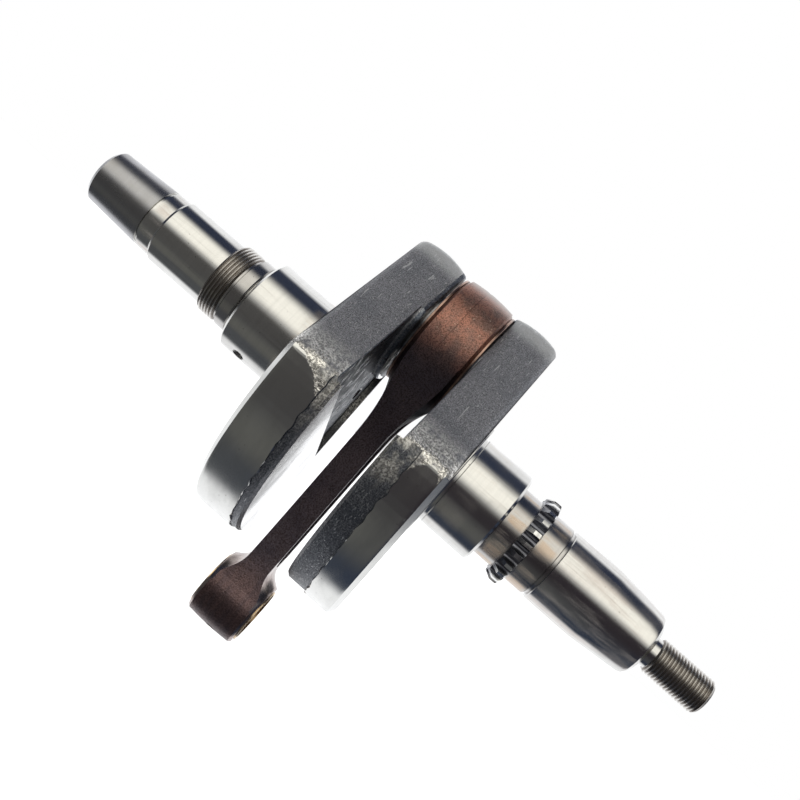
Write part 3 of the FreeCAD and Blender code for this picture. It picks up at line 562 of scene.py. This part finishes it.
def web_zone(side, point, normal):
    """Which finish a spot of a crank half has, from where it is. point is in millimetres."""
    across = abs(point.x)
    outward = normal.x * side
    r = math.hypot(point.y, point.z)
    from_pin = math.hypot(point.y, point.z - THROW / MM)
    past_web = across - WEB_OUTER / MM
    if past_web > 0.25 or (r < RING_R and past_web > 0.02):
        for end, name in LEFT_ENDS if side < 0 else RIGHT_ENDS:
            if across < end:
                return name
        return "taper"
    if from_pin < PIN_RADIUS / MM + 0.3 or r < CENTRE_HOLE_R:
        return "journal"
    on_plate = point.z > INNER_STEP_Z and across > PLATE_ACROSS
    if outward < -0.6 and across > INNER_STEP_ACROSS and (on_plate or from_pin < BOSS_R):
        return "inner"
    if outward > 0.95 and across > OUTER_FACE_ACROSS:
        return "outer"
    if outward < -0.95 and across < PLATE_ACROSS:
        return "face" if point.z < TURNED_FACE_TOP_Z else "inner"
    if from_pin < BOSS_R and across < PLATE_ACROSS:
        return "inner"
    if outward > 0.25 and r > BEVEL_R and across > BEVEL_ACROSS and point.z < BEVEL_TOP_Z:
        return "rim"
    turned_from = LEFT_TURNED_FROM if side < 0 else RIGHT_TURNED_FROM
    wander = 0.9 * noise.noise(Vector((point.z, point.y, across)) * 0.25)
    if r > RIM_R and point.z < RIM_TOP_Z:
        if across < turned_from + 0.05:
            return "rough_rim"
        if point.z > panel_top(side, across) + wander:
            return "forged"
        return "rim"
    return "forged"


def draft_webs(bm):
    """Forging draft: flanks and crown are fullest half way across and fall away to both faces."""
    crown = Vector((0.0, 0.0, CROWN_TOP - CROWN_RADIUS))
    for vert in bm.verts:
        across = abs(vert.co.x) / MM
        if across > WEB_OUTER / MM + 0.2 or vert.co.z < 0.0:
            continue
        sideways = -1.0 if vert.co.y < 0 else 1.0
        arm = Vector((0.0, vert.co.y, vert.co.z)) - crown
        outward = Vector((0.0, sideways * math.cos(FLANK_TILT), math.sin(FLANK_TILT)))
        if arm.z > 0 and abs(arm.y) < arm.z / math.tan(FLANK_TILT):
            outward = arm.normalized()
        depth = CROWN_RADIUS - arm.dot(outward)
        if depth > DRAFT_SKIN:
            continue
        fall = ((across - WEB_MIDDLE) / WEB_HALF_WIDTH) ** 2 * DRAFT
        fade = min(1.0, vert.co.z / DRAFT_FADE) * (1.0 - max(0.0, depth) / DRAFT_SKIN)
        vert.co -= outward * fall * fade
    bm.normal_update()


def in_web(face):
    """True where a crank half needs a fine mesh: its grainy skin, and the top of its turned rim."""
    centre = face.calc_center_median() / MM
    side = -1 if centre.x < 0 else 1
    zone = web_zone(side, centre, face.normal)
    on_rim_top = zone == "rim" and centre.z > RIM_SPLIT_FROM_Z and abs(face.normal.x) < 0.2
    return zone in GRAINY_ZONES or on_rim_top


def scallop_rim(bm, side):
    """Let the line between the rough band and the turned rim wander a little."""
    turned_from = LEFT_TURNED_FROM if side < 0 else RIGHT_TURNED_FROM
    for vert in bm.verts:
        across = abs(vert.co.x) / MM
        r = math.hypot(vert.co.y, vert.co.z) / MM
        if r > SCALLOP_FROM_R and abs(across - turned_from) < SCALLOP_REACH and vert.co.z < 0:
            angle = math.atan2(vert.co.z, vert.co.y)
            wander = noise.noise(Vector((angle * SCALLOP_RATE, side * 3.0, 0.0))) * SCALLOP_DEPTH
            vert.co.x += side * wander * MM
    bm.normal_update()


def crank_half(side, materials):
    """One crank half: forged web with real grain, turned rim, ground shaft. side is -1 for the left."""
    node = "left_crank_half" if side < 0 else "right_crank_half"
    bm = welded(node)
    split_fine(bm, in_web)
    for face in bm.faces:
        zone = web_zone(side, face.calc_center_median() / MM, face.normal)
        face.material_index = ZONES.index(zone)
    scallop_rim(bm, side)
    draft_webs(bm)
    grainy = {ZONES.index(zone) for zone in GRAINY_ZONES}
    roughen(bm, grainy, WEB_GRAIN)
    make_piece(bm, node + "_detailed", node, "crank", materials)


def rod_surface(face):
    """True for the forged skin of the rod, False for turned side faces and bores."""
    centre = face.calc_center_median()
    if abs(face.normal.x) > 0.97 and abs(centre.x - ROD_X) > ROD_SIDE_FROM:
        return False
    for eye_z, bore in ((THROW, BIG_BORE_R), (SMALL_END_Z, SMALL_BORE_R)):
        if math.hypot(centre.y, centre.z - eye_z) < bore:
            return False
    return True


def connecting_rod():
    """The rod with a forged grainy skin and the parting line of the dies round its edge."""
    bm = welded("connecting_rod")
    split_fine(bm, rod_surface)
    for face in bm.faces:
        flare = abs(face.normal.x) > 0.3 and face.calc_center_median().z < SMALL_END_Z + EYE_FLARE_HEIGHT
        face.material_index = 0 if rod_surface(face) and not flare else 1
    for vert in bm.verts:
        if all(f.material_index == 0 for f in vert.link_faces):
            sink = ROD_GRAIN * grain_height(vert.co, 300.0, 900.0)
            if abs(vert.normal.x) < 0.25:
                line = SEAM_X + 0.35 * MM * noise.noise(vert.co * 90.0)
                near = max(0.0, 1.0 - abs(vert.co.x - line) / ROD_SEAM_WIDTH)
                sink += ROD_SEAM_STEP * near if vert.co.x < line else 0.0
            vert.co -= vert.normal * sink
    materials = [rod_skin(), rod_side()]
    make_piece(bm, "connecting_rod_detailed", "connecting_rod", "rod", materials)


def paint(node, material):
    """Give a CAD node that keeps its own mesh a finished material."""
    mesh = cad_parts[node].data
    mesh.materials.clear()
    mesh.materials.append(material)


# ---------------------------------------------------------------- studio

def studio_world():
    """White paper behind, one soft box above the camera, dark room round it.

    Mirrors see bands by direction, where turn is the angle above the camera's side in degrees. The camera
    itself sees plain white."""
    world = bpy.data.worlds.new("studio")
    bpy.context.scene.world = world
    g = Nodes(world)
    x, y, z = g.split(g.new("ShaderNodeTexCoord").outputs["Generated"])
    turn = g.math("MULTIPLY", g.math("ARCTAN2", z, g.math("MULTIPLY", y, -1.0)), 180.0 / math.pi)
    left_side = g.step(x, 0.1, -0.3)
    room = g.mix(g.step(turn, -100.0, -20.0), ROOM_LOW, ROOM_WARM)
    glow = g.math("MULTIPLY", g.step(turn, -95.0, -65.0), g.step(turn, -20.0, -60.0))
    glow = g.math("MULTIPLY", glow, g.step(x, 0.5, -0.1))
    room = g.mix(g.math("MAXIMUM", glow, g.math("MULTIPLY", left_side, 0.6)), room, ROOM_OLIVE)
    room = g.mix(g.step(turn, 0.0, 8.0), room, ROOM_NAVY)
    wide = g.step(g.math("ABSOLUTE", x), 0.9, 0.7)
    box_mask = g.math("MULTIPLY", g.step(turn, -4.0, 26.0), g.step(turn, 80.0, 52.0))
    room = g.mix(g.math("MULTIPLY", box_mask, wide), room, SOFT_BOX)
    room = g.mix(g.step(y, 0.25, 0.5), room, PAPER)
    seen = g.new("ShaderNodeLightPath").outputs["Is Camera Ray"]
    room = g.mix(seen, room, WHITE)
    background = g.new("ShaderNodeBackground")
    g.join(room, background.inputs["Color"])
    output = g.new("ShaderNodeOutputWorld")
    g.join(background.outputs[0], output.inputs["Surface"])


def floor():
    """A plain pale floor well below the rod, which adds no reflection of its own."""
    mesh = bpy.data.meshes.new("floor")
    height = cad_low.z - FLOOR_DROP
    corners = [(x * FLOOR_HALF, y * FLOOR_HALF, height) for x, y in ((-1, -1), (1, -1), (1, 1), (-1, 1))]
    mesh.from_pydata(corners, [], [(0, 1, 2, 3)])
    plane = bpy.data.objects.new("floor", mesh)
    bpy.context.scene.collection.objects.link(plane)
    g = Graph("pale_floor")
    paper = g.noise(40, 2.0)
    tone = g.mix(paper, (0.5, 0.5, 0.5), (0.54, 0.54, 0.54))
    g.finish(tone, 0.9, 0.0)
    g.join(WHITE, g.shader.inputs["Emission Color"])
    g.shader.inputs["Emission Strength"].default_value = 0.95
    mesh.materials.append(g.material)
    plane.visible_glossy = False


def camera():
    """A level camera in front of the object, rolled so that the shaft runs down to the right."""
    data = bpy.data.cameras.new("camera")
    data.sensor_width = SENSOR
    data.lens = LENS
    data.clip_start = 0.01
    data.clip_end = 20.0
    eye = bpy.data.objects.new("camera", data)
    bpy.context.scene.collection.objects.link(eye)
    right = Vector(EYE_RIGHT).normalized()
    back = Vector(EYE_BACK).normalized()
    back = (back - right * back.dot(right)).normalized()
    up = back.cross(right)
    axes = Matrix((right, up, back)).transposed().to_4x4()
    eye.matrix_world = Matrix.Translation(EYE) @ axes
    bpy.context.scene.camera = eye


# ---------------------------------------------------------------- the object

def crank_materials():
    """Materials of both crank halves by zone. Stains run from one x to another, in millimetres."""
    journal_stains = ((-46.0, -37.0, GOLD_FILM, 0.35), (38.0, 50.0, GOLD_FILM, 0.08))
    neck_stains = ((62.0, 69.5, GOLD_FILM, 0.55), (77.0, 85.0, GOLD_FILM, 0.5))
    cylinder_stains = ((-122.0, -116.0, BROWN_FILM, 0.4), (88.0, 134.0, BROWN_FILM, 0.24))
    return {
        "forged": forged_steel(),
        "inner": inner_forged_painted_shade(),
        "rough_rim": rough_rim(),
        "rim": turned_steel("turned_rim", True),
        "face": turned_steel("turned_face", False, (0.8, 0.8, 0.8)),
        "outer": turned_steel("turned_outer", False, (0.36, 0.36, 0.37), 0.14),
        "journal": ground_steel("ground_journal", journal_stains),
        "neck": ground_steel("ground_neck", neck_stains, dullness=0.08, tint=(0.46, 0.45, 0.44)),
        "cylinder": ground_steel("ground_cylinder", cylinder_stains),
        "taper": ground_steel("ground_taper", dullness=0.4, tint=(0.36, 0.36, 0.375)),
        "teeth": tooth_steel(),
    }


def crank_material_list(side, made):
    """The materials of one crank half in the order of ZONES, with that side's own thread."""
    if side < 0:
        thread = thread_steel("thread_left", LEFT_THREAD_CREST)
    else:
        thread = thread_steel("thread_right", RIGHT_THREAD_CREST)
    return [thread if zone == "thread" else made[zone] for zone in ZONES]


def build():
    """The detailed pieces, and finished materials for the CAD nodes that keep their own mesh."""
    made = crank_materials()
    crank_half(-1, crank_material_list(-1, made))
    crank_half(1, crank_material_list(1, made))
    connecting_rod()
    paint("crank_pin", bearing_steel("pin_steel", (0.55, 0.55, 0.56), 0.2))
    plug = bearing_steel("plug_steel", (0.45, 0.45, 0.46), 0.3)
    roller = bearing_steel("roller_steel", (0.65, 0.65, 0.66), 0.12)
    cage = bearing_steel("cage_steel", (0.4, 0.38, 0.35), 0.3)
    washer = copper_bronze("washer_bronze", (0.36, 0.24, 0.19), (0.2, 0.135, 0.11))
    bush = copper_bronze("bush_bronze", (0.68, 0.52, 0.33), (0.4, 0.29, 0.18))
    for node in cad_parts:
        if node.startswith("crank_pin_plug"):
            paint(node, plug)
        elif node.startswith("big_end_roller"):
            paint(node, roller)
        elif node.startswith("thrust_washer"):
            paint(node, washer)
    paint("big_end_cage", cage)
    paint("small_end_bush", bush)


build()
studio_world()
floor()
camera()
bpy.context.scene.view_settings.view_transform = "Standard"
